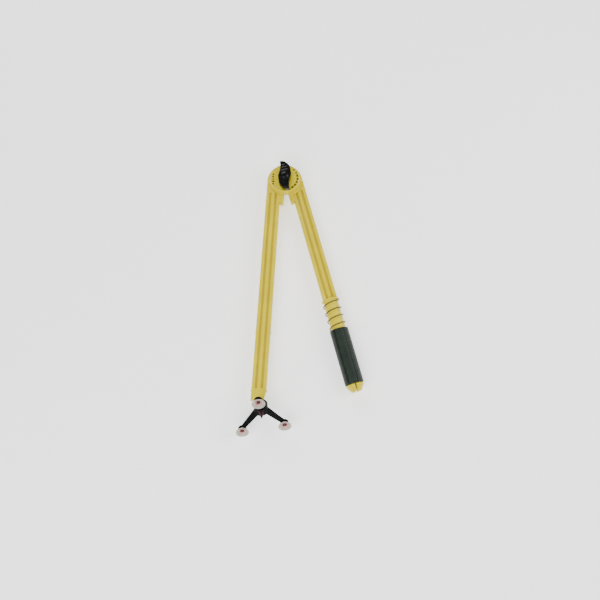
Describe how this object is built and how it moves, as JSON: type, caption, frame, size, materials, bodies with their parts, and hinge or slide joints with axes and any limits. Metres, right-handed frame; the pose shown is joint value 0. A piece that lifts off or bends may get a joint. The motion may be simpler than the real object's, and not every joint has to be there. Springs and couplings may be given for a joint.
{
  "type": "whiteboard compass",
  "caption": "Large two-legged board compass with a clamped head, a spring-loaded marker chuck on one leg and a tilting three-cup suction foot on the other.",
  "frame": {"origin": "on the head's pivot axis, at the flat outer face of the back cap, which is the surface the compass lies on", "axes": "+Z along the pivot axis towards the clamp knob; +Y along the marker leg from its tip towards the head; +X to the right, away from the pivot leg"},
  "size_m": [0.2597, 0.5331, 0.0972],
  "materials": {
    "yellow": "semi-gloss moulded plastic",
    "black": "glossy black plastic",
    "green": "matt dark green grip",
    "steel": "plated steel",
    "brass": "turned brass",
    "milky": "milky soft vinyl",
    "red": "dark red plastic",
    "nylon": "natural nylon"
  },
  "bodies": {
    "marker_leg": {"marker_leg": "yellow", "back_cap": "black", "pivot_bolt": "steel", "friction_washer": "nylon", "scale_disc": "yellow", "spring_washer": "steel", "return_spring": "steel", "jaw_pin_left": "steel", "jaw_pin_right": "steel", "jaw_spring": "steel"},
    "clamp_knob": {"clamp_knob": "black", "knob_insert": "brass", "knob_cap": "black"},
    "grip_sleeve": {"grip_sleeve": "green", "guide_ring": "nylon"},
    "jaw_left": {"jaw_left": "yellow"},
    "jaw_right": {"jaw_right": "yellow"},
    "pivot_leg": {"pivot_leg": "yellow", "leg_pin_upper": "yellow", "leg_pin_lower": "yellow"},
    "foot_knuckle": {"swivel_knuckle": "black", "tilt_pin": "steel"},
    "foot_stem": {"hub_stem": "steel", "stem_clip": "steel"},
    "foot": {"tripod_spider": "black", "centre_cone": "red", "centre_tip": "steel", "suction_cup_1": "milky", "suction_cup_2": "milky", "suction_cup_3": "milky", "cup_plug_1": "red", "cup_plug_2": "red", "cup_plug_3": "red"}
  },
  "joints": [
    {"name": "leg_fold", "type": "hinge", "parent": "marker_leg", "child": "pivot_leg", "pos_m": [0, 0, 0.0185], "axis": [0, 0, 1], "range_deg": [-92, 18]},
    {"name": "knob_turn", "type": "hinge", "parent": "marker_leg", "child": "clamp_knob", "pos_m": [0, 0, 0.05], "axis": [0, 0, 1], "range_deg": [-20, 270]},
    {"name": "sleeve_slide", "type": "slide", "parent": "marker_leg", "child": "grip_sleeve", "axis": [0, 1, 0], "range_m": [0, 0.022], "stiffness_N_per_m": 300, "springref_m": -0.01, "deforming": ["return_spring"]},
    {"name": "jaw_left_swing", "type": "hinge", "parent": "marker_leg", "child": "jaw_left", "pos_m": [0.01365, -0.4115, 0.0185], "axis": [0, 0, -1], "range_deg": [0, 6]},
    {"name": "jaw_right_swing", "type": "hinge", "parent": "marker_leg", "child": "jaw_right", "pos_m": [0.03085, -0.4115, 0.0185], "axis": [0, 0, 1], "range_deg": [0, 6]},
    {"name": "foot_swivel", "type": "hinge", "parent": "pivot_leg", "child": "foot_knuckle", "pos_m": [-0.15968, -0.42804, 0.0185], "axis": [-0.3123, -0.95, 0], "range_deg": [-45, 30]},
    {"name": "foot_tilt", "type": "hinge", "parent": "foot_knuckle", "child": "foot_stem", "pos_m": [-0.15968, -0.42804, 0.0185], "axis": [0.9226, -0.3033, -0.2385], "range_deg": [-8, 37]},
    {"name": "foot_spin", "type": "hinge", "parent": "foot_stem", "child": "foot", "pos_m": [-0.15968, -0.42804, 0.0185], "axis": [-0.1131, -0.8035, 0.5844], "continuous": true}
  ],
  "couplings": [
    {"joint": "jaw_left_swing", "follows": "sleeve_slide", "rad_per_m": 4.7},
    {"joint": "jaw_right_swing", "follows": "sleeve_slide", "rad_per_m": 4.7}
  ]
}
